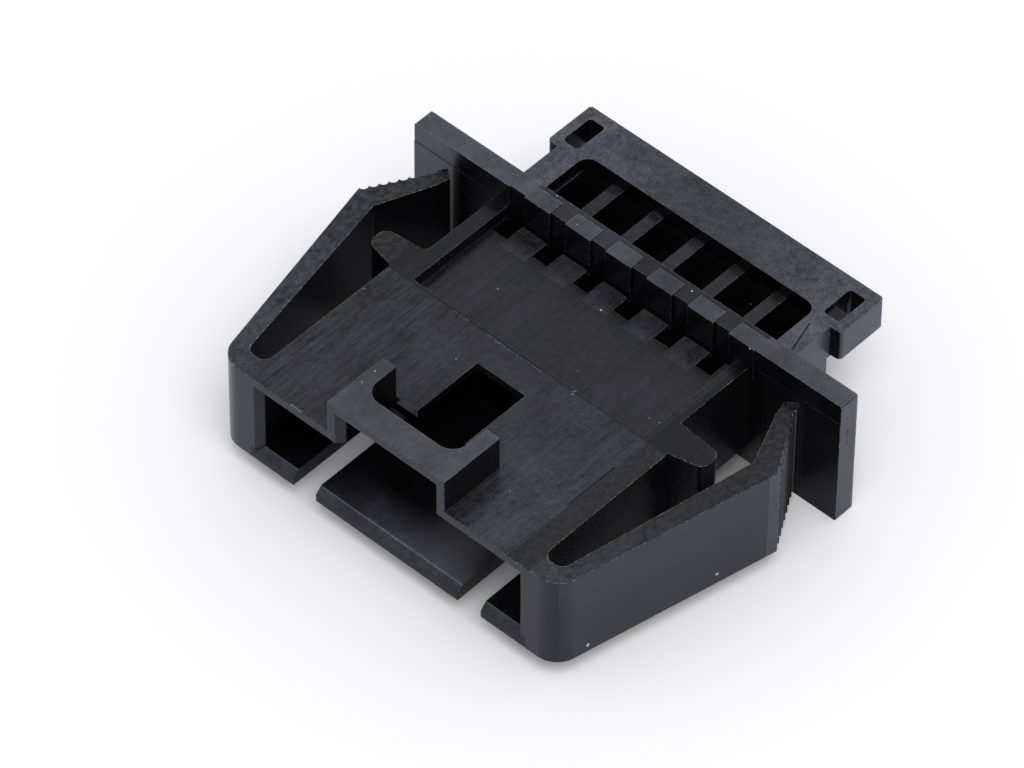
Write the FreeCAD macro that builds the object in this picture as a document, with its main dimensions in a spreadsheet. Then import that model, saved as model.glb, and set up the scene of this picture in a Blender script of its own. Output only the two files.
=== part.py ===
import FreeCAD, Part
import math
import os
import Sketcher

os.makedirs("parts", exist_ok=True)
doc = FreeCAD.newDocument("connector_housing")
sheet = doc.addObject("Spreadsheet::Sheet", "sizes")
body = doc.addObject("PartDesign::Body", "housing")


class Size:
    """A length that knows both its number and the sheet expression behind it."""

    def __init__(self, text, number):
        self.text = text
        self.number = number

    def joined(self, sign, other, number):
        return Size("(%s %s %s)" % (self.text, sign, size_of(other).text), number)

    def __add__(self, other):
        return self.joined("+", other, self.number + size_of(other).number)

    def __sub__(self, other):
        return self.joined("-", other, self.number - size_of(other).number)

    def __mul__(self, other):
        return self.joined("*", other, self.number * size_of(other).number)

    def __truediv__(self, other):
        return self.joined("/", other, self.number / size_of(other).number)

    def __neg__(self):
        return Size("(0 - %s)" % self.text, -self.number)


def size_of(value):
    return value if isinstance(value, Size) else Size(repr(value), value)


rows_used = 0


def size(alias, number):
    """Writes one named value to the sheet."""
    global rows_used
    rows_used += 1
    sheet.set("A%d" % rows_used, alias.replace("_", " "))
    sheet.set("B%d" % rows_used, str(number))
    sheet.setAlias("B%d" % rows_used, alias)
    return Size("sizes.%s" % alias, number)


# Contact row
pitch = size("pitch", 2.54)
ways = size("ways", 6)
cavity_width = size("cavity_width", 1.86)
cavity_height = size("cavity_height", 2.0)
cavity_roof = size("cavity_roof", 1.0)

# Panel flange, with the outline's lowest face at height zero and its front at Y zero
flange_width = size("flange_width", 26.58)
flange_height = size("flange_height", 7.73)
flange_thick = size("flange_thick", 1.13)
flange_chamfer = size("flange_chamfer", 0.08)
front_step = size("front_step", 0.025)
front_step_drop = size("front_step_drop", 1.17)
front_step_foot = size("front_step_foot", 0.6)

# Shroud
shroud_margin = size("shroud_margin", 2.29)
shroud_base = size("shroud_base", 1.06)
shroud_height = size("shroud_height", 5.41)
nose = size("nose", 16.11)
floor_wall = size("floor_wall", 0.8)
roof_wall = size("roof_wall", 0.45)
wall_side = size("wall_side", 0.67)
chamber_depth = size("chamber_depth", 8.8)
lead_in = size("lead_in", 0.36)
neck_inset = size("neck_inset", 0.59)
neck_start = size("neck_start", 4.9)
neck_trim = size("neck_trim", 0.24)

# Keying bump on the shroud's roof
bump_width = size("bump_width", 7.24)
bump_length = size("bump_length", 3.69)
bump_rise = size("bump_rise", 1.98)
bump_wall = size("bump_wall", 0.82)
bump_lip = size("bump_lip", 1.53)
bump_corner = size("bump_corner", 0.9)
window_width = size("window_width", 2.98)
window_end = size("window_end", 8.37)

# Keying slots in the shroud's floor
key_slot_start = size("key_slot_start", 4.45)
key_slot_width = size("key_slot_width", 1.43)
key_slot_length = size("key_slot_length", 6.1)

# Spring arms
arm_gap = size("arm_gap", 1.155)
arm_root = size("arm_root", 0.64)
arm_spread = size("arm_spread", 2.045)
arm_knee = size("arm_knee", 1.29)
arm_knee_step = size("arm_knee_step", 0.38)
knee_back = size("knee_back", 3.97)
fold_in = size("fold_in", 2.18)
tip_back = size("tip_back", 0.19)
tip_thick = size("tip_thick", 0.53)
tip_bevel = size("tip_bevel", 0.43)
toe_step = size("toe_step", 0.18)
toe_back = size("toe_back", 1.4)
arm_slot_front = size("arm_slot_front", 15.0)
arm_corner = size("arm_corner", 1.3)
arm_slot_corner = size("arm_slot_corner", 0.5)
tooth_count = size("tooth_count", 8)
tooth_pitch = size("tooth_pitch", 0.485)
tooth_depth = size("tooth_depth", 0.15)
tooth_curve = size("tooth_curve", 0.27)

# Stops beside the shroud that limit the arms
stop_reach = size("stop_reach", 1.8)
stop_front = size("stop_front", 6.21)
stop_rear = size("stop_rear", 5.01)
stop_root_front = size("stop_root_front", 6.7)
stop_root_rear = size("stop_root_rear", 4.78)
stop_round = size("stop_round", 0.55)
stop_fillet = size("stop_fillet", 0.35)

# Roof recess with a latch hole over each cavity
recess_margin = size("recess_margin", 0.88)
recess_margin_right = size("recess_margin_right", 0.75)
recess_length = size("recess_length", 6.54)
recess_depth = size("recess_depth", 0.64)
latch_hole_width = size("latch_hole_width", 0.99)
latch_hole_length = size("latch_hole_length", 1.25)
latch_hole_shift = size("latch_hole_shift", 0.345)
tongue_gap = size("tongue_gap", 0.18)
tongue_gap_depth = size("tongue_gap_depth", 0.3)
land_rise = size("land_rise", 0.07)
groove_depth = size("groove_depth", 0.07)
pad_length = size("pad_length", 0.85)
pad_rise = size("pad_rise", 0.05)

# Rear block with its trough, ears and tail
rear_inset = size("rear_inset", 0.1)
rear_drop = size("rear_drop", 0.57)
rear_end = size("rear_end", 4.62)
ear_reach = size("ear_reach", 0.635)
ear_step = size("ear_step", 0.15)
ear_thick = size("ear_thick", 1.85)
ear_corner = size("ear_corner", 0.12)
ear_front_round = size("ear_front_round", 0.25)
tail_wall = size("tail_wall", 0.37)
tail_end = size("tail_end", 7.84)
tail_floor = size("tail_floor", 0.5)
trough_margin = size("trough_margin", 0.78)
trough_end = size("trough_end", 5.31)
trough_depth = size("trough_depth", 0.75)
trough_corner = size("trough_corner", 0.65)
sill_reach = size("sill_reach", 0.1)
ear_slot_margin = size("ear_slot_margin", 1.31)
ear_slot_width = size("ear_slot_width", 0.98)
ear_slot_setback = size("ear_slot_setback", 0.48)
ear_slot_length = size("ear_slot_length", 1.95)
ear_slot_corner = size("ear_slot_corner", 0.2)
ear_ledge_length = size("ear_ledge_length", 0.78)
ear_ledge_depth = size("ear_ledge_depth", 0.2)

# Lengths that are only clearances between overlapping solids
overlap = size("overlap", 0.5)
doc.recompute()

# Levels that follow from the sizes
roof = shroud_base + shroud_height
recess_level = roof - recess_depth
rear_roof = roof - rear_drop
cavity_top = recess_level - cavity_roof
cavity_floor = cavity_top - cavity_height
last_cavity = pitch * (ways - 1) / 2
first_cavity = -last_cavity
half = last_cavity + shroud_margin
half_neck = half - neck_inset
half_rear = half - rear_inset
half_ear = half_rear + ear_reach
half_trough = last_cavity + trough_margin
trough_floor = rear_roof - trough_depth
half_tail = last_cavity + cavity_width / 2 + tail_wall
bump_back = bump_length - nose

AXIS = {"XY_Plane": 1, "XZ_Plane": -1, "YZ_Plane": 1}


def origin_plane(role):
    return next(item for item in body.Origin.OriginFeatures if item.Role == role)


def sketch_on(name, role, level):
    """Starts a sketch parallel to an origin plane, at a level along that plane's axis."""
    sketch = body.newObject("Sketcher::SketchObject", name)
    sketch.AttachmentSupport = [(origin_plane(role), "")]
    sketch.MapMode = "FlatFace"
    distance = size_of(level) * AXIS[role]
    sketch.setExpression("AttachmentOffset.Base.z", distance.text)
    return sketch


def pin_point(sketch, geometry, point, place):
    """Fixes one sketch point by its two sheet distances from the sketch origin."""
    for kind, value in zip(("DistanceX", "DistanceY"), place):
        value = size_of(value)
        made = Sketcher.Constraint(kind, -1, 1, geometry, point, float(value.number))
        index = sketch.addConstraint(made)
        sketch.setExpression("Constraints[%d]" % index, value.text)


def outline(name, role, level, corners):
    """A closed outline of straight lines through the given corners."""
    sketch = sketch_on(name, role, level)
    places = [tuple(size_of(value).number for value in corner) for corner in corners]
    total = len(places)
    for index in range(total):
        start = FreeCAD.Vector(*places[index], 0)
        end = FreeCAD.Vector(*places[(index + 1) % total], 0)
        sketch.addGeometry(Part.LineSegment(start, end), False)
    for index in range(total):
        following = (index + 1) % total
        sketch.addConstraint(Sketcher.Constraint("Coincident", index, 2, following, 1))
    for index, corner in enumerate(corners):
        pin_point(sketch, index, 1, corner)
    doc.recompute()
    return sketch


def block(name, role, level, low, high):
    """A rectangle between two opposite corners."""
    corners = [low, (high[0], low[1]), high, (low[0], high[1])]
    return outline(name, role, level, corners)


def centred(name, role, level, width, low, high):
    """A rectangle of the given width about the middle plane."""
    return block(name, role, level, (-(width / 2), low), (width / 2, high))


def extrude(kind, name, sketch, length, backwards=False):
    feature = body.newObject("PartDesign::" + kind, name)
    feature.Profile = sketch
    feature.setExpression("Length", size_of(length).text)
    feature.Reversed = backwards
    feature.Refine = True
    body.Tip = feature
    doc.recompute()
    return feature


def pad(name, sketch, length, backwards=False):
    return extrude("Pad", name, sketch, length, backwards)


def pocket(name, sketch, depth, backwards=False):
    return extrude("Pocket", name, sketch, depth, backwards)


def row_of(name, feature, sketch, spacing, count):
    """Repeats a feature along its own sketch's horizontal axis."""
    pattern = body.newObject("PartDesign::LinearPattern", name)
    pattern.Originals = [feature]
    pattern.Direction = (sketch, ["H_Axis"])
    pattern.Mode = "Spacing"
    pattern.setExpression("Offset", size_of(spacing).text)
    pattern.setExpression("Occurrences", size_of(count).text)
    body.Tip = pattern
    doc.recompute()
    return pattern


def mirror(name, features):
    """Repeats features on the other side of the middle plane."""
    made = body.newObject("PartDesign::Mirrored", name)
    made.Originals = features
    made.MirrorPlane = (origin_plane("YZ_Plane"), [""])
    body.Tip = made
    doc.recompute()
    return made


def upright_edges(places):
    """Names the edges of the current solid that stand upright at the given places."""
    found = []
    wanted = [(size_of(x).number, size_of(y).number) for x, y in places]
    for number, edge in enumerate(body.Tip.Shape.Edges, 1):
        ends = [vertex.Point for vertex in edge.Vertexes]
        if len(ends) != 2 or math.hypot(ends[0].x - ends[1].x, ends[0].y - ends[1].y) > 1e-4:
            continue
        for x, y in wanted:
            if math.hypot(ends[0].x - x, ends[0].y - y) < 1e-3:
                found.append("Edge%d" % number)
    return found


def soften(kind, name, edges, amount):
    """Rounds or bevels the named edges of the current solid."""
    if not edges:
        raise RuntimeError("no edges found for " + name)
    value_name = {"Fillet": "Radius", "Chamfer": "Size"}[kind]
    base = body.Tip
    feature = body.newObject("PartDesign::" + kind, name)
    feature.Base = (base, edges)
    feature.setExpression(value_name, size_of(amount).text)
    body.Tip = feature
    doc.recompute()
    return feature


# Flange plate across the whole width
plate = centred("flange_outline", "XZ_Plane", 0, flange_width, 0, flange_height)
pad("flange", plate, flange_thick, backwards=True)

flange_corners = []
for number, edge in enumerate(body.Tip.Shape.Edges, 1):
    middle = edge.CenterOfMass
    at_side = abs(abs(middle.x) - flange_width.number / 2) < 1e-4
    at_level = min(abs(middle.z), abs(middle.z - flange_height.number)) < 1e-4
    if at_side and at_level:
        flange_corners.append("Edge%d" % number)
soften("Chamfer", "flange_corners", flange_corners, flange_chamfer)

# Shroud and its narrower neck, solid at first
inside_plate = flange_thick / 2
shroud_plan = outline("shroud_plan", "XY_Plane", shroud_base, [
    (-half, -nose),
    (half, -nose),
    (half, -neck_start),
    (half_neck, -neck_start),
    (half_neck, inside_plate),
    (-half_neck, inside_plate),
    (-half_neck, -neck_start),
    (-half, -neck_start),
])
pad("shroud", shroud_plan, shroud_height)

# Spring arm: straight out from the front corner, folded back at the knee
slot_out = half + arm_gap
inner_knee_out = slot_out + arm_spread
knee_out = inner_knee_out + arm_knee
inner_knee_back = knee_back + arm_knee_step
tip_out = knee_out - fold_in
tip_inner_out = tip_out - tip_thick
arm_plan = outline("arm_plan", "XY_Plane", shroud_base, [
    (half - overlap, -nose),
    (slot_out + arm_root, -nose),
    (knee_out, -knee_back),
    (tip_out, -tip_back),
    (tip_inner_out, -tip_back - tip_bevel),
    (tip_inner_out + toe_step, -toe_back),
    (inner_knee_out, -inner_knee_back),
    (slot_out, -arm_slot_front),
    (half - overlap, -arm_slot_front),
])
pad("arm", arm_plan, shroud_height)
soften("Fillet", "arm_round", upright_edges([(slot_out + arm_root, -nose)]), arm_corner)
slot_edges = upright_edges([(slot_out, -arm_slot_front), (half, -arm_slot_front)])
soften("Fillet", "slot_round", slot_edges, arm_slot_corner)

# Shallow scallops along the folded end of the arm
tooth_plan = sketch_on("tooth_plan", "XY_Plane", roof)
tooth_plan.setExpression("AttachmentOffset.Base.x", knee_out.text)
tooth_plan.setExpression("AttachmentOffset.Base.y", (-knee_back).text)
fold = "atan2(%s; %s)" % ((knee_back - tip_back).text, (tip_out - knee_out).text)
tooth_plan.setExpression("AttachmentOffset.Rotation.Angle", fold)
tooth_place = (tooth_pitch / 2, tooth_depth - tooth_curve)
tooth_centre = FreeCAD.Vector(tooth_place[0].number, tooth_place[1].number, 0)
tooth_plan.addGeometry(Part.Circle(tooth_centre, FreeCAD.Vector(0, 0, 1), tooth_curve.number), False)
pin_point(tooth_plan, 0, 3, tooth_place)
curve = tooth_plan.addConstraint(Sketcher.Constraint("Radius", 0, tooth_curve.number))
tooth_plan.setExpression("Constraints[%d]" % curve, tooth_curve.text)
doc.recompute()
tooth = pocket("tooth", tooth_plan, shroud_height)
row_of("teeth", tooth, tooth_plan, tooth_pitch, tooth_count)

# Stop beside the shroud
stop_out = half + stop_reach
stop_plan = outline("stop_plan", "XY_Plane", shroud_base, [
    (half - overlap, -stop_root_front),
    (stop_out, -stop_front),
    (stop_out, -stop_rear),
    (half_neck - overlap, -stop_root_rear),
    (half_neck - overlap, -stop_root_front),
])
pad("stop", stop_plan, shroud_height)
stop_edges = upright_edges([(stop_out, -stop_front), (stop_out, -stop_rear)])
soften("Fillet", "stop_nose", stop_edges, stop_round)

# The arm and the stop again on the left
both_sides = body.newObject("PartDesign::Mirrored", "both_sides")
both_sides.TransformMode = "Whole shape"
both_sides.MirrorPlane = (origin_plane("YZ_Plane"), [""])
body.Tip = both_sides
doc.recompute()

# The neck stands a little further in on the right, and its corner with the left stop is rounded
stop_slope = (stop_rear - stop_root_rear) / (stop_out - half_neck + overlap)
trim_side = half_neck - neck_trim
trim_plan = outline("trim_plan", "XY_Plane", roof, [
    (trim_side, -stop_root_rear - stop_slope * (overlap - neck_trim)),
    (half_neck + overlap, -stop_root_rear - stop_slope * (overlap + overlap)),
    (half_neck + overlap, 0),
    (trim_side, 0),
])
pocket("neck_trim_cut", trim_plan, shroud_height)
neck_corner = (-half_neck, -stop_root_rear - stop_slope * overlap)
soften("Fillet", "stop_root_round", upright_edges([neck_corner]), stop_fillet)

# Most of the flange's front stands proud by a hair, up to a line just above the shroud's roof
step_side = flange_width / 2
step_corner = step_side - flange_chamfer
step_inner = half_neck - overlap
step_top = flange_height - front_step_drop
step_plan = outline("step_plan", "XZ_Plane", 0, [
    (-step_side, flange_chamfer),
    (-step_corner, 0),
    (step_corner, 0),
    (step_side, flange_chamfer),
    (step_side, step_top),
    (step_inner, step_top),
    (step_inner, shroud_base + front_step_foot),
    (-step_inner, shroud_base + front_step_foot),
    (-step_inner, step_top),
    (-step_side, step_top),
])
pad("flange_step", step_plan, front_step)

# Recess in the shroud's roof up to the flange, with a narrow gap at the flange's foot
recess_low = -last_cavity - recess_margin
recess_high = last_cavity + recess_margin_right
recess_plan = block("recess_plan", "XY_Plane", roof, (recess_low, -recess_length), (recess_high, 0))
pocket("recess", recess_plan, recess_depth)
gap_plan = block("gap_plan", "XY_Plane", recess_level, (recess_low, -tongue_gap), (recess_high, 0))
pocket("tongue_gap_cut", gap_plan, tongue_gap_depth)

# One latch hole, groove and land a contact, set a little off the contact's middle
hole_middle = first_cavity - latch_hole_shift
hole_low = hole_middle - latch_hole_width / 2
hole_high = hole_middle + latch_hole_width / 2
land_high = hole_low + pitch
hole_plan = block("hole_plan", "XY_Plane", recess_level,
                  (hole_low, -latch_hole_length), (hole_high, groove_depth))
hole = pocket("latch_hole", hole_plan, cavity_roof + overlap)
row_of("latch_holes", hole, hole_plan, pitch, ways)

land_plan = block("land_plan", "XZ_Plane", 0, (hole_high, recess_level), (land_high, flange_height))
land = pad("land", land_plan, land_rise)
row_of("lands", land, land_plan, pitch, ways)

groove_plan = block("groove_plan", "XZ_Plane", 0, (hole_low, recess_level), (hole_high, flange_height))
groove = pocket("groove", groove_plan, groove_depth)
row_of("grooves", groove, groove_plan, pitch, ways)

pad_plan = block("pad_plan", "XY_Plane", flange_height, (hole_high, -land_rise), (land_high, pad_length))
top_pad = pad("top_pad", pad_plan, pad_rise)
row_of("top_pads", top_pad, pad_plan, pitch, ways)

# Rear block behind the flange, its overhanging ears and the tail under them
rear_plan = centred("rear_plan", "XY_Plane", shroud_base, half_rear * 2, inside_plate, rear_end)
pad("rear_block", rear_plan, rear_roof - shroud_base)

ear_front = rear_end + ear_step
ear_plan = outline("ear_plan", "XY_Plane", rear_roof - ear_thick, [
    (-half_rear, rear_end - overlap),
    (half_rear, rear_end - overlap),
    (half_rear, ear_front),
    (half_ear, ear_front),
    (half_ear, tail_end),
    (-half_ear, tail_end),
    (-half_ear, ear_front),
    (-half_rear, ear_front),
])
pad("ears", ear_plan, ear_thick)
ear_corners = upright_edges([(-half_ear, tail_end), (half_ear, tail_end)])
soften("Chamfer", "ear_corners", ear_corners, ear_corner)
ear_noses = upright_edges([(-half_ear, ear_front), (half_ear, ear_front)])
soften("Fillet", "ear_noses", ear_noses, ear_front_round)

tail_bottom = cavity_floor - tail_floor
tail_plan = centred("tail_plan", "XY_Plane", tail_bottom, half_tail * 2, rear_end - overlap, tail_end)
pad("tail", tail_plan, rear_roof - tail_bottom)

# Trough in the rear block, rounded where it meets the rear bar
trough_right = last_cavity + cavity_width / 2
trough_plan = block("trough_plan", "XY_Plane", rear_roof,
                    (-half_trough, flange_thick), (trough_right, trough_end))
pocket("trough", trough_plan, trough_depth)
trough_edges = upright_edges([(-half_trough, trough_end), (trough_right, trough_end)])
soften("Fillet", "trough_round", trough_edges, trough_corner)

# Ports from the trough down into the cavities, the first one narrowed by a sill
cavity_low = first_cavity - cavity_width / 2
cavity_high = first_cavity + cavity_width / 2
port_plan = block("port_plan", "XY_Plane", trough_floor,
                  (cavity_low, flange_thick), (cavity_high, trough_end))
port_depth = trough_floor - cavity_top
port = pocket("port", port_plan, port_depth + overlap)
row_of("ports", port, port_plan, pitch, ways)
sill_plan = block("sill_plan", "XY_Plane", trough_floor,
                  (-half_trough - overlap / 2, inside_plate),
                  (-half_trough + sill_reach, trough_end + overlap / 2))
pad("sill", sill_plan, port_depth, backwards=True)

# Slots through the ears, the right one with a shallow ledge at its front
ear_slot_start = last_cavity + ear_slot_margin
ear_slot_side = ear_slot_start + ear_slot_width
ear_slot_front = ear_front + ear_slot_setback
ear_slot_back = ear_slot_front + ear_slot_length
ear_slot = block("ear_slot", "XY_Plane", rear_roof,
                 (ear_slot_start, ear_slot_front), (ear_slot_side, ear_slot_back))
ear_slot_cut = pocket("ear_slot_cut", ear_slot, ear_thick)
ear_slot_places = [(across, along) for across in (ear_slot_start, ear_slot_side)
                   for along in (ear_slot_front, ear_slot_back)]
ear_slot_round = soften("Fillet", "ear_slot_round", upright_edges(ear_slot_places), ear_slot_corner)
mirror("ear_slots", [ear_slot_cut, ear_slot_round])
ear_ledge = block("ear_ledge", "XY_Plane", rear_roof - ear_ledge_depth,
                  (ear_slot_start - ear_slot_corner, ear_slot_front - ear_slot_corner),
                  (ear_slot_side + ear_slot_corner, ear_slot_front + ear_ledge_length))
pad("ear_ledge_fill", ear_ledge, ear_thick - ear_ledge_depth, backwards=True)

# Contact cavities from the tail to the mating chamber
cavity_plan = block("cavity_plan", "XZ_Plane", tail_end,
                    (cavity_low, cavity_floor), (cavity_high, cavity_top))
cavity = pocket("cavity", cavity_plan, tail_end + nose - chamber_depth, backwards=True)
row_of("cavities", cavity, cavity_plan, pitch, ways)

# Keying bump
bump_plan = centred("bump_plan", "XY_Plane", roof - roof_wall, bump_width, -nose, bump_back)
pad("bump", bump_plan, bump_rise + roof_wall)

# Mating chamber and the hollow of the bump, opened from the front and bevelled but for their ceilings
half_chamber = half - wall_side
chamber_floor = shroud_base + floor_wall
chamber_roof = roof - roof_wall
mouth = centred("mouth", "XZ_Plane", -nose, half_chamber * 2, chamber_floor, chamber_roof)
pocket("chamber", mouth, chamber_depth)

bump_hollow = bump_width - bump_wall * 2
bump_top = roof + bump_rise
hollow_top = bump_top - roof_wall
bump_mouth = centred("bump_mouth", "XZ_Plane", -nose, bump_hollow, chamber_roof - overlap, hollow_top)
pocket("bump_chamber", bump_mouth, bump_length)

front = [face for face in body.Tip.Shape.Faces
         if len(face.Wires) > 1 and abs(face.CenterOfMass.y + nose.number) < 1e-4][0]
ceilings = (chamber_roof.number, hollow_top.number)
rim = [edge for wire in front.Wires if not wire.isSame(front.OuterWire) for edge in wire.Edges
       if min(abs(edge.CenterOfMass.z - ceiling) for ceiling in ceilings) > 1e-3]
rim_names = ["Edge%d" % number for number, edge in enumerate(body.Tip.Shape.Edges, 1)
             if any(edge.isSame(other) for other in rim)]
soften("Chamfer", "mouth_lead_in", rim_names, lead_in)

# Opening in the bump's roof, running on as a narrower window in the shroud's roof
lip_back = bump_lip - nose
bump_opening = centred("bump_opening", "XY_Plane", bump_top, bump_hollow, lip_back, bump_back)
pocket("bump_cut", bump_opening, bump_rise + roof_wall)
half_hollow = bump_hollow / 2
opening_edges = upright_edges([(-half_hollow, lip_back), (half_hollow, lip_back)])
soften("Fillet", "opening_round", opening_edges, bump_corner)

window = centred("window", "XY_Plane", roof, window_width, bump_back - overlap, -window_end)
pocket("window_cut", window, roof_wall + overlap)

# Keying slots in the floor, open at the mouth
key_slot_side = key_slot_start + key_slot_width
key_slot = block("key_slot", "XY_Plane", shroud_base,
                 (key_slot_start, -nose - overlap), (key_slot_side, key_slot_length - nose))
key_slot_cut = pocket("key_slot_cut", key_slot, floor_wall + overlap, backwards=True)
mirror("key_slots", [key_slot_cut])

# The middle of the outline's length stands over the origin
body.setExpression("Placement.Base.y", ((nose - tail_end) / 2).text)
doc.recompute()

for item in doc.Objects:
    if {"Invalid", "Error"} & set(item.State):
        raise RuntimeError("%s did not build" % item.Name)
solid = body.Shape
if solid.isNull() or not solid.isValid() or len(solid.Solids) != 1:
    raise RuntimeError("the housing is not one valid solid")
solid.exportStep("parts/%s.step" % body.Label)
box = solid.BoundBox
print("housing %.2f x %.2f x %.2f mm" % (box.XLength, box.YLength, box.ZLength))
print("volume %.1f cubic mm, %d faces" % (solid.Volume, len(solid.Faces)))
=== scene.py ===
# %% [markdown]
# # A moulded connector housing
# The object is one piece of charcoal-black plastic, about as wide as a thumbnail: a shrouded
# mouth at the front, a flange across the middle and a block with six windows behind it. It
# could be modelled here, but its solid comes ready made from the packed CAD model, so both
# show the same edges. It is loaded first and never moved. Everything here is in metres, so a
# tenth of a millimetre is 0.0001.

# %% Load the frame
import math

import bpy
from mathutils import Matrix, Vector

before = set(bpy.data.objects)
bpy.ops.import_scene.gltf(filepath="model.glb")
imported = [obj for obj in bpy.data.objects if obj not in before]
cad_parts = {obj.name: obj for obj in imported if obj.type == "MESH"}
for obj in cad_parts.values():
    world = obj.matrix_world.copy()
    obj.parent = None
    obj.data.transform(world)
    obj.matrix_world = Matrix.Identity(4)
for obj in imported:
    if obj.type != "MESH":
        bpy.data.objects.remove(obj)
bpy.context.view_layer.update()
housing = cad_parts["housing"]
MM = 0.001

# %% [markdown]
# ## Camera
# The photograph looks down on the mouth's right-hand corner from about 47 degrees, with a
# long lens, so its parallel edges hardly converge. A camera can be moved by eye until it
# fits, but here azimuth, elevation, roll and focal length were fitted to the object's
# straight edges, which comes within about a pixel. The camera is placed by those angles and
# by the point of the object that it aims at.

# %% Camera
PHOTO_WIDTH = 1024
AZIMUTH, ELEVATION, ROLL = (math.radians(a) for a in (42.2875, 47.5102, 0.4607))
FOCAL_PIXELS = 7788.6
SENSOR = 36.0
AIM = Vector((-1.0164, -2.4026, 3.9264)) * MM
DISTANCE = 359.75 * MM

back = Vector((math.sin(AZIMUTH) * math.cos(ELEVATION),
               -math.cos(AZIMUTH) * math.cos(ELEVATION),
               math.sin(ELEVATION)))
level_right = Vector((math.cos(AZIMUTH), math.sin(AZIMUTH), 0))
level_up = back.cross(level_right)
right = level_right * math.cos(ROLL) + level_up * math.sin(ROLL)
up = back.cross(right)

camera_data = bpy.data.cameras.new("camera")
camera_data.sensor_width = SENSOR
camera_data.sensor_fit = "HORIZONTAL"
camera_data.lens = FOCAL_PIXELS / PHOTO_WIDTH * SENSOR
camera_data.clip_start = 0.01
camera_data.clip_end = 10
camera = bpy.data.objects.new("camera", camera_data)
bpy.context.scene.collection.objects.link(camera)
turn = Matrix((right, up, back)).transposed().to_4x4()
camera.matrix_world = Matrix.Translation(AIM + back * DISTANCE) @ turn
bpy.context.scene.camera = camera
print("lens in mm:", round(camera_data.lens, 1))

# %% [markdown]
# ## Shader expressions
# A finish is a sum of masks, and masks are arithmetic. Nodes could be made and linked one by
# one, but the sums would be lost in the wiring. So a socket is wrapped in a small class that
# can be added, multiplied and subtracted like a number, and each operation adds its Math
# node.


# %% Wire: one socket that knows its arithmetic
class Wire:
    """An output socket of a material, with arithmetic on it."""

    def __init__(self, finish, socket):
        self.finish = finish
        self.socket = socket

    def output(self, name):
        """Another output of the same node."""
        return Wire(self.finish, self.socket.node.outputs[name])

    def maths(self, operation, *values, clamp=False):
        """A Math node on this socket and the values after it."""
        return self.finish.node("ShaderNodeMath", {"operation": operation, "use_clamp": clamp},
                                self, *values)

    def __add__(self, other):
        return self.maths("ADD", other)

    def __sub__(self, other):
        return self.maths("SUBTRACT", other)

    def __rsub__(self, other):
        return self.finish.node("ShaderNodeMath", {"operation": "SUBTRACT"}, other, self)

    def __mul__(self, other):
        return self.maths("MULTIPLY", other)

    def __truediv__(self, other):
        return self.maths("DIVIDE", other)

    def above(self, other):
        return self.maths("GREATER_THAN", other)

    def below(self, other):
        return self.maths("LESS_THAN", other)

    def clamped(self):
        return self.maths("ADD", 0.0, clamp=True)

    __radd__ = __add__
    __rmul__ = __mul__


print("a wire can", ", ".join(name for name in vars(Wire) if name[0] != "_"))

# %% [markdown]
# ## A material, node by node
# Any other node comes from one method, which takes the node's type, its settings and then
# the values or links of its sockets. Mix nodes have one socket for each kind of value under
# the same name, so they have a method of their own that picks the sockets by kind.


# %% Finish: a material built node by node
class Finish:
    """A material with an empty node tree to fill."""

    def __init__(self, name):
        self.material = bpy.data.materials.new(name)
        self.material.use_nodes = True
        self.tree = self.material.node_tree
        self.tree.nodes.clear()

    def feed(self, socket, value):
        """Links a wire to the socket, or writes a plain value on it."""
        if isinstance(value, Wire):
            self.tree.links.new(value.socket, socket)
        elif value is not None:
            socket.default_value = value

    def node(self, kind, settings=None, *values, out=0, **named):
        """Adds a node: settings first, then its sockets by order or by name."""
        made = self.tree.nodes.new(kind)
        for key, value in (settings or {}).items():
            setattr(made, key, value)
        for position, value in enumerate(values):
            self.feed(made.inputs[position], value)
        for name, value in named.items():
            self.feed(made.inputs[name.replace("_", " ")], value)
        return Wire(self, made.outputs[out])

    def split(self, vector):
        """The three parts of a vector or colour."""
        parts = self.node("ShaderNodeSeparateXYZ", None, vector)
        return [parts.output(name) for name in "XYZ"]

    def distance(self, one, other):
        return self.node("ShaderNodeVectorMath", {"operation": "DISTANCE"}, one, other,
                         out="Value")

    def blend(self, factor, first, second, kind="RGBA"):
        """One colour, or one direction if the kind is VECTOR, going over into another."""
        made = self.tree.nodes.new("ShaderNodeMix")
        made.data_type = kind
        factor_socket = [socket for socket in made.inputs if socket.type == "VALUE"][0]
        ends = [socket for socket in made.inputs if socket.type == kind][-2:]
        for socket, value in zip([factor_socket, *ends], (factor, first, second)):
            self.feed(socket, value)
        return Wire(self, [socket for socket in made.outputs if socket.type == kind][0])

    def end(self, shader):
        closing = self.tree.nodes.new("ShaderNodeOutputMaterial")
        self.tree.links.new(shader.socket, closing.inputs["Surface"])
        print("finish", self.material.name, "has", len(self.tree.nodes), "nodes")


print("a finish can", ", ".join(name for name in vars(Finish) if name[0] != "_"))

# %% [markdown]
# ## Floor
# The piece was photographed in a light tent, so it stands on white. A curved backdrop would
# do, but one flat plane is enough, as it is so wide that its edge is never seen.

# %% Floor
FLOOR_HALF = 1.5
floor_mesh = bpy.data.meshes.new("floor")
corners = [(-FLOOR_HALF, -FLOOR_HALF, 0), (FLOOR_HALF, -FLOOR_HALF, 0),
           (FLOOR_HALF, FLOOR_HALF, 0), (-FLOOR_HALF, FLOOR_HALF, 0)]
floor_mesh.from_pydata(corners, [], [(0, 1, 2, 3)])
floor = bpy.data.objects.new("floor", floor_mesh)
bpy.context.scene.collection.objects.link(floor)
print("floor is", 2 * FLOOR_HALF, "metres wide")

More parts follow.
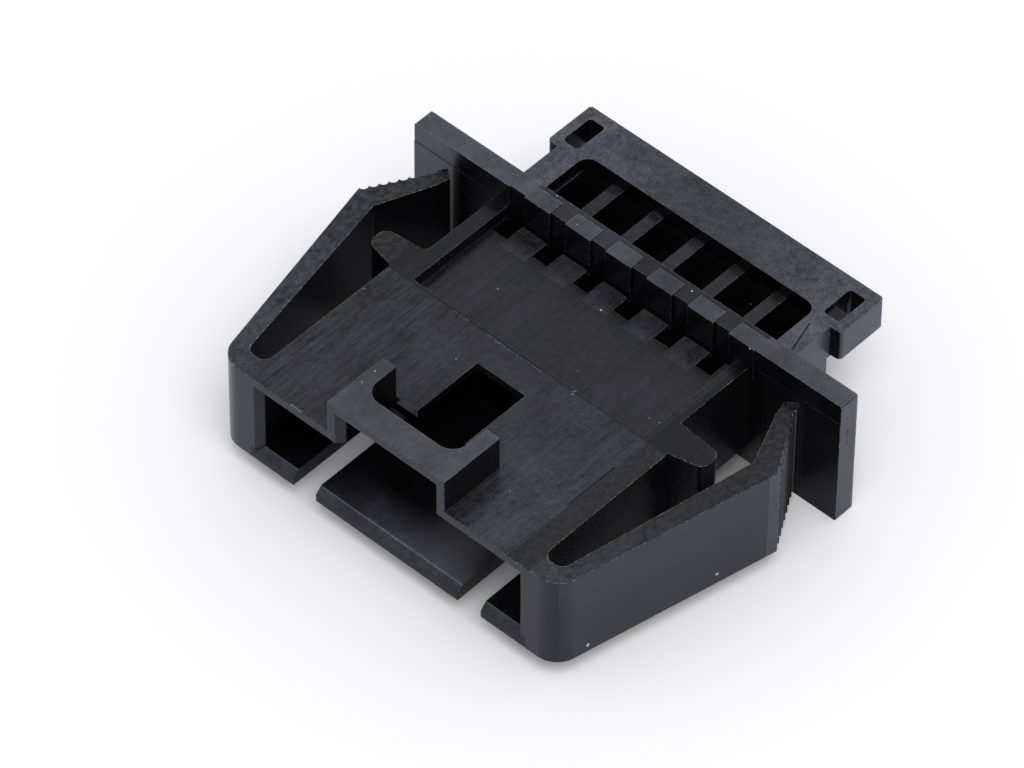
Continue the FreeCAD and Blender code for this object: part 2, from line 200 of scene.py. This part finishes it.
# %% [markdown]
# ## White paper
# The paper is nearly white in the photograph and keeps a soft contact shadow. A stronger lamp
# would whiten it but wash the plastic out, so the paper glows a little instead, only
# towards the camera and the plastic's gloss. The gloss sees it slightly bluer, because the
# black faces that mirror the floor are bluish. Under the gap by the right stop a soft painted
# shadow darkens the floor more than the lamp does, and only the camera sees it.

# %% Floor paper
FLOOR_WHITE = (0.87, 0.865, 0.89, 1)
FLOOR_MIRRORED = (0.80, 0.79, 0.90, 1)
FLOOR_LIFT = 0.055
GAP_FLOOR = (0.00766, 0.00336, 0.0)
GAP_REACH = 0.0026
GAP_PAINTED_SHADOW = 0.68

paper = Finish("floor paper")
direct = paper.node("ShaderNodeLightPath", None, out="Is Camera Ray")
mirrored = direct.output("Is Glossy Ray")
from_gap = paper.distance(paper.node("ShaderNodeTexCoord", None, out="Object"), GAP_FLOOR)
# Painted shadow: the floor near the gap by the right stop is darkened for camera rays only.
painted_gap_shadow = ((1.0 - from_gap / GAP_REACH) * 2.0).clamped() * direct
white = paper.blend(mirrored, FLOOR_WHITE, FLOOR_MIRRORED)
diffuse = paper.node("ShaderNodeBsdfDiffuse", None,
                     paper.blend(painted_gap_shadow * GAP_PAINTED_SHADOW, white, (0.0, 0.0, 0.0, 1)))
glow = paper.node("ShaderNodeEmission", None, (1, 1, 1, 1), (direct + mirrored) * FLOOR_LIFT)
paper.end(paper.node("ShaderNodeAddShader", None, diffuse, glow))
floor_mesh.materials.append(paper.material)

# %% [markdown]
# ## World
# The tent's walls are soft light from all round. Lamps on every side could stand for them,
# but an even world does it with less noise. The camera sees it at full white, while it
# lights the scene a little less, which leaves room for the lamp.

# %% World
WORLD_SEEN = 1.0
WORLD_LIGHT = 0.8
WORLD_TINT = (0.97, 0.975, 1.0, 1)
world = bpy.data.worlds.new("studio")
bpy.context.scene.world = world
world.use_nodes = True
sky = world.node_tree
sky.nodes.clear()
rays = sky.nodes.new("ShaderNodeLightPath")
strength = sky.nodes.new("ShaderNodeMapRange")
strength.inputs["To Min"].default_value = WORLD_LIGHT
strength.inputs["To Max"].default_value = WORLD_SEEN
ground = sky.nodes.new("ShaderNodeBackground")
ground.inputs["Color"].default_value = WORLD_TINT
world_out = sky.nodes.new("ShaderNodeOutputWorld")
sky.links.new(rays.outputs["Is Camera Ray"], strength.inputs["Value"])
sky.links.new(strength.outputs["Result"], ground.inputs["Strength"])
sky.links.new(ground.outputs["Background"], world_out.inputs["Surface"])
print("world light", WORLD_LIGHT)

# %% [markdown]
# ## Lamp
# One direction is a little brighter than the rest, because the tent is lit from above, to
# the right. A sun would draw a hard shadow, so the lamp is a large square close by, and the
# shadow has no edge.

# %% Lamp
LAMP_PLACE = Vector((0.25, -0.15, 0.6))
LAMP_WIDTH = 0.4
LAMP_POWER = 1.9
lamp_data = bpy.data.lights.new("overhead", "AREA")
lamp_data.size = LAMP_WIDTH
lamp_data.energy = LAMP_POWER
lamp = bpy.data.objects.new("overhead", lamp_data)
bpy.context.scene.collection.objects.link(lamp)
lamp_turn = (AIM - LAMP_PLACE).to_track_quat("-Z", "Y").to_matrix().to_4x4()
lamp.matrix_world = Matrix.Translation(LAMP_PLACE) @ lamp_turn
print("lamp at", tuple(round(v, 2) for v in LAMP_PLACE), "power", LAMP_POWER)

# %% [markdown]
# ## Where a place on the moulding lies
# The finish changes from place to place: the shroud's roof is brushed along its length, the
# bump is smoother, the hidden hollows are plain. The faces could be painted one by one with
# a material each, but the CAD piece has one slot. Object coordinates tell the places apart
# instead. They are in metres from the middle of the base, so they are turned into
# millimetres from the middle of the flange's front, the way the part is dimensioned.

# %% Place and direction on the moulding
FLANGE_FRONT = 4.135
plastic = Finish("charcoal plastic")
place = plastic.node("ShaderNodeMapping", {"vector_type": "POINT"},
                     plastic.node("ShaderNodeTexCoord", None, out="Object"),
                     Scale=(1 / MM, 1 / MM, 1 / MM), Location=(0, -FLANGE_FRONT, 0))
across, along, height = plastic.split(place)
off_middle = across.maths("ABSOLUTE")
surface = plastic.node("ShaderNodeNewGeometry", None, out="Normal")
to_right, to_back, to_top = plastic.split(surface)
FACES = 0.7
upward = to_top.above(FACES)
looks_right = to_right.above(FACES)
looks_front = to_back.below(-FACES)
print("a face looks one way when its normal is above", FACES)


# %% Masks
def between(value, low, high):
    """1 where the value lies between the two limits, else 0."""
    return value.above(low) * value.below(high)


def rising(value, start, reach):
    """0 up to the start, then up to 1 over the reach; a negative reach rises downwards."""
    return ((value - start) / reach).clamped()


def level(value, reach=0.06):
    """1 on upward faces at this height, else 0."""
    return upward * between(height, value - reach, value + reach)


def stretched_noise(sizes, detail, roughness, seed):
    """Noise whose patches have the given sizes in mm along each axis."""
    spread = plastic.node("ShaderNodeMapping", {"vector_type": "POINT"}, place,
                          Location=(seed, seed * 0.7, seed * 0.3),
                          Scale=tuple(1 / size for size in sizes))
    return plastic.node("ShaderNodeTexNoise", {"noise_dimensions": "3D"}, spread,
                        Scale=1.0, Detail=detail, Roughness=roughness)


print("masks ready")

# %% [markdown]
# ## The moulding's faces
# Nearly every face that the photograph shows lies at a level of its own, so its height and
# the way it looks are enough to pick it. What differs within one level is parted by lines
# across or along the piece.

# %% Faces by level and side
ROOF_LEVEL = 6.47
RECESS_LEVEL = 5.83
BUMP_LEVEL = 8.45
FLANGE_LEVEL, PAD_LEVEL = 7.73, 7.78
BAR_LEVEL = 5.9
RIB_LEVEL = 5.15
CHAMBER_LEVEL = 1.86
BAND_START = 7.45
RIGHT_ARM, LEFT_ARM = 8.8, -8.7
BRUSH_END = -6.75

roof = level(ROOF_LEVEL, 0.1)
plain_roof = roof * across.below(BAND_START)
right_arm = roof * across.above(RIGHT_ARM)
left_arm = roof * across.below(LEFT_ARM)
in_front, behind = along.below(BRUSH_END), along.above(BRUSH_END)
recess = level(RECESS_LEVEL, 0.03) * along.below(0.0)
bump_top = level(BUMP_LEVEL)
flange_top = level((FLANGE_LEVEL + PAD_LEVEL) / 2, 0.04)
bar = level(BAR_LEVEL, 0.03) * along.above(0.5)
chamber_floor = level(CHAMBER_LEVEL)
sloping_front = between(to_top, 0.2, 0.97) * to_back.below(-0.2)
arm_side = looks_right * across.above(9.0) * along.below(0.0)
flange_end = looks_right * across.above(13.0)
print("roof at", ROOF_LEVEL, "mm, brush lines end at", BRUSH_END)

# %% Pads and tongues
PITCH, FIRST_PAD, LAST_PAD_END = 2.54, -6.2, 8.05
PAD_SHARE = 0.61
pad_row = between(across, FIRST_PAD, LAST_PAD_END)
on_pad = ((across - FIRST_PAD) / PITCH).maths("FRACT").below(PAD_SHARE) * pad_row
pads = level(PAD_LEVEL, 0.02)
beside_pads = level(FLANGE_LEVEL, 0.02) * pad_row
print("pads are", round(PAD_SHARE * PITCH, 2), "mm wide")

# %% [markdown]
# ## How worn each face is, and where light and shade are painted
# Black plastic shows its surroundings and little of its own colour, so a face that was
# scuffed, brushed or left grainy by the mould reads as a paler one. Its roughness could
# change instead, but then its mirror image would change too, and the photograph shows that
# the same everywhere. So each face gets a grey, in linear light, and some a second one
# towards one side, where they were measured paler or darker. A few greys are painted light
# and shade instead of wear: light on the chamber floor near the lip and on the left end of the
# flange's front, shade beside the bump, in the recess towards the flange and between the pads.

# %% Greys of the faces
BASE_GREY = 0.0025
GREYS = (
    ("roof", plain_roof, 0.0125),
    ("roof towards the right", plain_roof * rising(across, -2.0, 7.0), 0.0040),
    ("roof's smoother front right", plain_roof * rising(across, 1.0, 4.0)
     * rising(along, -9.0, -4.0), 0.0080),
    # Painted shade: the roof is darker beside the bump's wall.
    ("painted shade on the roof beside the bump", roof * between(across, 3.6, 4.5) * along.below(-12.0), -0.0070),
    ("roof's right band", roof * between(across, BAND_START, RIGHT_ARM) * in_front, 0.0075),
    ("roof behind the brush lines", roof * behind * off_middle.below(RIGHT_ARM), -0.0120),
    ("right arm", right_arm, 0.0135),
    ("right arm towards the back", right_arm * rising(along, -10.5, 3.0), -0.0075),
    ("right front corner", right_arm * rising(along, -12.5, -2.0), 0.0085),
    ("left arm", left_arm, -0.0010),
    ("left arm's front half", left_arm * along.below(-7.3), 0.0130),
    ("stops", roof * behind * between(off_middle, 8.3, 10.6), -0.0060),
    ("recess", recess, 0.0088),
    # Painted shade: the recess is darker towards the upright flange.
    ("painted shade in the recess towards the flange", recess * rising(along, -3.5, 1.5), -0.0035),
    ("squares on the tongues", recess * on_pad * along.above(-1.75), 0.0110),
    ("bump", bump_top, 0.0405),
    ("bump's near corner", bump_top * rising(across, 0.5, 2.0), 0.0120),
    ("bump's far corner", bump_top * rising(along, -14.5, 2.0) * rising(across, 0.0, -3.0),
     -0.0100),
    ("flange top", flange_top, 0.0430),
    ("flange top on the left", flange_top * across.below(0.0), 0.0070),
    ("pads on the flange", pads, -0.0060),
    # Painted shade: the flange top between the raised pads is much darker.
    ("painted shade on the flange between the pads", beside_pads, -0.0380),
    ("rear bar", bar, 0.0285),
    ("rear bar towards the ears", bar * rising(off_middle, 2.0, 5.5), 0.0280),
    ("ribs", level(RIB_LEVEL), 0.0110),
    # Painted light: the chamber floor is lighter towards the lip and towards the right.
    ("painted light on the chamber floor towards the lip", chamber_floor * rising(along, -13.5, -4.0)
     * rising(across, -5.0, 4.0) * across.below(4.9), 0.0720),
    ("slopes of lip and sills", sloping_front * along.below(-15.0) * height.below(3.0), 0.0370),
    ("ends of the pads", looks_right * height.above(7.72) * along.above(-0.2), 0.0900),
    # Painted light: the left end of the flange's front is lighter, where it is open to the
    # light.
    ("painted light on the left end of the flange's front", looks_front * rising(across, -10.3, -0.9)
     * along.above(-0.3), 0.0460),
    ("right arm's side", arm_side, 0.0035),
    ("right arm's side towards the top", arm_side * rising(height, 3.5, 2.5), 0.0075),
    ("ear ends", looks_right * across.above(8.0) * along.above(1.0), 0.0450),
    ("flange ends", flange_end * along.below(1.0), 0.0225),
    ("left front corner", looks_front * across.below(-8.0) * along.below(-14.0), 0.0060),
)
grey = sum((mask * amount for _, mask, amount in GREYS), BASE_GREY)
print(len(GREYS), "greys for the faces")

# %% [markdown]
# ## Brush lines, grain and clouds
# Polishing the mould left brush lines from the mouth to the flange, a fine grain all over,
# and cloudy patches where it was polished more or less. Scanned images of such surfaces
# exist, but noise needs none: stretched one way it gives lines, in equal sizes it gives
# grain, and in large sizes clouds. Each swings about zero, so it leaves the mean grey of its
# face alone.


# %% Noises
def swing(noise):
    """Noise about zero, where it was about a half."""
    return noise - 0.5


brush = stretched_noise((0.075, 1.9, 0.5), 3.0, 0.65, 3.1)
long_brush = stretched_noise((0.16, 6.0, 0.5), 2.0, 0.6, 5.9)
coarse_brush = stretched_noise((0.20, 1.3, 0.5), 3.0, 0.7, 4.4)
grain = stretched_noise((0.085, 0.085, 0.085), 2.0, 0.6, 7.7)
mottle = stretched_noise((0.32, 0.38, 0.32), 2.0, 0.6, 9.2)
clouds = stretched_noise((1.8, 2.6, 1.8), 2.0, 0.5, 1.3)
chips = stretched_noise((0.13, 0.13, 0.13), 1.0, 0.5, 2.6).above(0.57)
brushed = swing(brush) * 2.2 + swing(long_brush) * 1.8
grained = swing(grain) * 2.2 + swing(mottle) * 1.8
print("seven noises ready")

# %% How strongly each face shows them
arm_tops = roof * (across.above(BAND_START) + across.below(LEFT_ARM))
brushed_part = roof * between(across, LEFT_ARM, BAND_START) * in_front + recess * 0.9
streaked_part = roof * between(across, LEFT_ARM, -4.0) * in_front
smooth_part = bump_top + flange_top

brush_strength = 0.5 + rising(across, 0.0, -7.0) * 0.9 + rising(across, 0.0, 7.0) * 0.45
grain_strength = 0.3 + upward * 0.7 - smooth_part * 0.5 - chamber_floor * 0.5
mottle_strength = arm_tops * (1.4 + along.above(-7.5) * 2.6)
tone = (1.0 + grained * grain_strength + brushed * brushed_part * brush_strength
        + swing(coarse_brush) * streaked_part * 3.4 + swing(mottle) * mottle_strength
        + swing(clouds) * 1.7)
behind_mottle = swing(mottle) * roof * behind * 0.010
print("tone of the greys ready")

# %% [markdown]
# ## Edges
# No moulded edge is sharp, and the rims rub white first. A bevel on the mesh would change
# the CAD node, so the Bevel node only turns the normal over a strip along the edge. Where
# the turned normal departs from the flat one, there is an edge to wear. Inner corners turn
# as well, so ambient occlusion keeps the effect to the outer ones.

# %% Edges: a rounded normal, and where it departs from the flat one
EDGE_RADIUS = 0.07
NOOK_REACH = 0.12
rounded = plastic.node("ShaderNodeBevel", {"samples": 8}, EDGE_RADIUS * MM)
same = plastic.node("ShaderNodeVectorMath", {"operation": "DOT_PRODUCT"}, surface, rounded,
                    out="Value")
openness = plastic.node("ShaderNodeAmbientOcclusion", {"samples": 6},
                        Distance=NOOK_REACH * MM, out="AO")
inside = between(across, -7.6, 7.6) * between(height, 0.85, 5.0) * between(along, -15.8, 3.9)
rounded_part = openness.above(0.9) * (1 - inside)
skin_normal = plastic.blend(rounded_part, surface, rounded, kind="VECTOR")
edge = ((1 - same) * 5.0).clamped() * rounded_part
print("edge radius in mm:", EDGE_RADIUS)

# %% Worn rims
low_front = height.below(3.0) * along.below(-12.0)
edge_wear = (edge * (grain.above(0.5) * 0.6 + 0.4) * (0.25 + upward * 0.75)
             * (1 - low_front * 0.7))
worn_rims = (arm_tops + flange_top * across.below(-3.0) + flange_end
             + roof * across.below(-9.4) * along.below(-13.0))
edge_chips = edge * chips * (0.3 + worn_rims * 0.7)
print("worn rims ready")

# %% [markdown]
# ## Dust
# Pale grains of dust catch the light. Little spheres could be scattered over the piece, but
# at a few hundredths of a millimetre a dot of colour looks the same. Each cell of a coarse
# cell pattern may hold one speck at its middle; its random colour decides whether it does
# and how large it is. The grains that stand out in the photograph are listed one by one.

# %% Dust
DUST_SPACING = 0.62
DUST_SIZE = 0.024
BARE_CELLS = 0.8
GRAINS = ((0.03, -1.61, 5.83, 0.055), (0.5, -0.04, 7.78, 0.07), (3.47, 0.8, 7.78, 0.07),
          (7.8, -0.05, 7.7, 0.06), (-3.24, 0.3, 7.78, 0.03), (-5.18, 1.05, 7.73, 0.03),
          (-2.99, -12.09, 8.45, 0.035), (-3.33, -13.25, 8.45, 0.035), (-3.3, -14.15, 8.45, 0.03),
          (-2.38, -8.87, 6.47, 0.026), (-0.87, -6.52, 6.47, 0.03), (4.92, -13.15, 6.47, 0.026),
          (12.39, -7.29, 1.68, 0.08), (10.83, -14.32, 1.48, 0.09))
cells = plastic.node("ShaderNodeTexVoronoi", {"feature": "F1"}, place, Scale=1 / DUST_SPACING,
                     out="Distance")
chance, how_large, _ = plastic.split(cells.output("Color"))
speck = cells.below((0.35 + how_large) * (DUST_SIZE / DUST_SPACING))
dust = speck * chance.above(BARE_CELLS) * to_top.above(0.2)
dust = sum((plastic.distance(place, grain_place).below(radius)
            for *grain_place, radius in GRAINS), dust).clamped()
print("dust spacing in mm:", DUST_SPACING, "and", len(GRAINS), "grains by hand")

# %% [markdown]
# ## Scratches and nicks
# A few scratches stand out in the photograph, some bright and some dark. A drawn image would
# hold them all, but they are so few and so straight that each is the set of points close
# enough to a line between two places. The first two numbers of a place are across and along,
# and the number after the places is half the scratch's width.


# %% Scratches
def scratch(start, finish, half_width, face):
    """1 within half the width of the line from start to finish, seen from above."""
    run = (finish[0] - start[0], finish[1] - start[1])
    length = math.hypot(*run)
    run = (run[0] / length, run[1] / length)
    ahead = (across - start[0]) * run[0] + (along - start[1]) * run[1]
    aside = (across - start[0]) * run[1] - (along - start[1]) * run[0]
    return between(ahead, 0.0, length) * aside.maths("ABSOLUTE").below(half_width) * face


BRIGHT = (((2.9, -6.76), (2.99, -6.55), 0.04, roof),
          ((-8.6, -8.55), (-8.42, -8.5), 0.04, roof),
          ((-5.99, -16.06), (-5.3, -16.07), 0.045, roof),
          ((-1.69, -6.80), (-1.6, -6.76), 0.05, roof),
          ((4.2, -6.27), (4.52, -6.2), 0.035, recess))
BROKEN = (((-4.5, -6.7), (-3.6, -6.72), 0.03, roof),
          ((-2.4, -6.75), (1.6, -6.8), 0.025, roof))
DARK = (((7.4, -12.04), (7.42, -8.86), 0.04, roof),
        ((7.69, 4.28), (8.2, 2.47), 0.05, bar),
        ((2.9, -6.5), (2.91, -5.56), 0.025, recess))
bright_marks = (sum(scratch(*row) for row in BRIGHT)
                + sum(scratch(*row) for row in BROKEN) * grain.above(0.54))
end_marks = (looks_right * across.above(13.2) * between(along, 0.48, 0.57)
             * (between(height, 4.75, 5.1) + between(height, 5.25, 5.9)))
dark_marks = sum(scratch(*row) for row in DARK) + end_marks * 0.5
print(len(BRIGHT), "bright,", len(BROKEN), "broken and", len(DARK), "dark scratches")

# %% [markdown]
# ## Painted shade, and dark marks
# Some walls look darker in the photograph than their mirror image makes them, because the
# tent doesn't reach them. Less light there would need blockers in the scene. Instead shade is
# painted: the gloss is mixed with a flat black by a share for each place, and scratches that
# are dark are mixed the same way.

# %% Painted shade and dark marks
DARK_MARKS_AND_PAINTED_SHADE = (
    ("dark scratches and marks", dark_marks.clamped(), 0.85),
    # Each row after the dark scratches is painted shade.
    ("scallops next to the flange", across.above(11.3) * between(along, -3.4, -1.0)
     * (1 - upward) * rising(along, -2.7, 0.8), 0.8),
    ("walls of the slots", looks_right * between(along, -15.5, -4.5)
     * (between(across, 8.6, 8.7) + between(across, -13.0, -9.5)), 0.35),
    ("left arm's elbow", looks_right * across.below(-9.5) * between(along, -9.5, -4.5)
     * rising(along, -9.5, 2.5), 0.4),
    ("side of the neck", looks_right * between(along, -5.0, 0.0) * between(across, 7.7, 8.1)
     * height.below(6.3), 0.5),
    ("flange's front on the right", looks_front * across.above(8.6) * between(along, -0.1, 0.1)
     * rising(height, 6.6, -1.5), 0.6),
    ("front of the lip", looks_front * along.below(-15.0) * height.below(1.8)
     * between(across, -8.6, 8.6), 0.4),
)
marks_and_painted_shade = sum(mask * share for _, mask, share in DARK_MARKS_AND_PAINTED_SHADE).clamped()
print(len(DARK_MARKS_AND_PAINTED_SHADE), "kinds of dull place")

# %% [markdown]
# ## Charcoal plastic
# The plastic is a smooth black with a soft gloss. All the greys go into the base colour,
# which is nearly nothing on a bare face. The roughness stays near a quarter everywhere, so a
# face next to an upright one mirrors it as a soft dark band. Grain is relief all over, the
# bump too, and brush lines on the brushed roof and recess, some thousandths of a millimetre
# deep.

# %% Colour
TINT = (0.95, 0.945, 1.23)
DUST_COLOUR = (0.40, 0.40, 0.42, 1)
EDGE_WEAR, EDGE_CHIPS, SCUFFED = 0.075, 0.24, 0.08
DARKEST = 0.0012
shade = (grey * tone + behind_mottle + edge_wear * EDGE_WEAR + edge_chips * EDGE_CHIPS
         + bright_marks.clamped() * SCUFFED).maths("MAXIMUM", DARKEST)
own = plastic.node("ShaderNodeVectorMath", {"operation": "SCALE"}, TINT, Scale=shade)
colour = plastic.blend(dust, own, DUST_COLOUR)
print("darkest shade", DARKEST)

# %% Gloss and relief together
IOR = 1.40
GLOSS_TINT = (0.87, 0.88, 1.0, 1)
ROUGHNESS = 0.27
RELIEF_STRENGTH, RELIEF_DEPTH = 0.3, 0.006
# The flat black of the painted shade and of the dark scratches.
SHADE_AND_MARK_BLACK = (0.006, 0.006, 0.007, 1)
roughness = ROUGHNESS + swing(grain) * 0.1 + swing(clouds) * 0.08
relief = grain * 0.5 + brushed * brushed_part * 0.4
skin = plastic.node("ShaderNodeBump", None, RELIEF_STRENGTH, RELIEF_DEPTH * MM, Height=relief,
                    Normal=skin_normal)
glossy = plastic.node("ShaderNodeBsdfPrincipled", None, Base_Color=colour, Roughness=roughness,
                      Normal=skin, IOR=IOR, Specular_Tint=GLOSS_TINT)
# Flat black mixed over the gloss: painted shade in some places, dark scratches in others.
flat_shade_and_mark_black = plastic.node("ShaderNodeBsdfPrincipled", None, SHADE_AND_MARK_BLACK, Roughness=0.8,
                    Specular_IOR_Level=0.1)
plastic.end(plastic.node("ShaderNodeMixShader", None, marks_and_painted_shade, glossy, flat_shade_and_mark_black))
housing.data.materials.clear()
housing.data.materials.append(plastic.material)

# %% [markdown]
# ## Closing lines
# The view transform stays Standard, so a colour renders about as it is written.

# %% Closing lines
bpy.context.scene.view_settings.view_transform = "Standard"
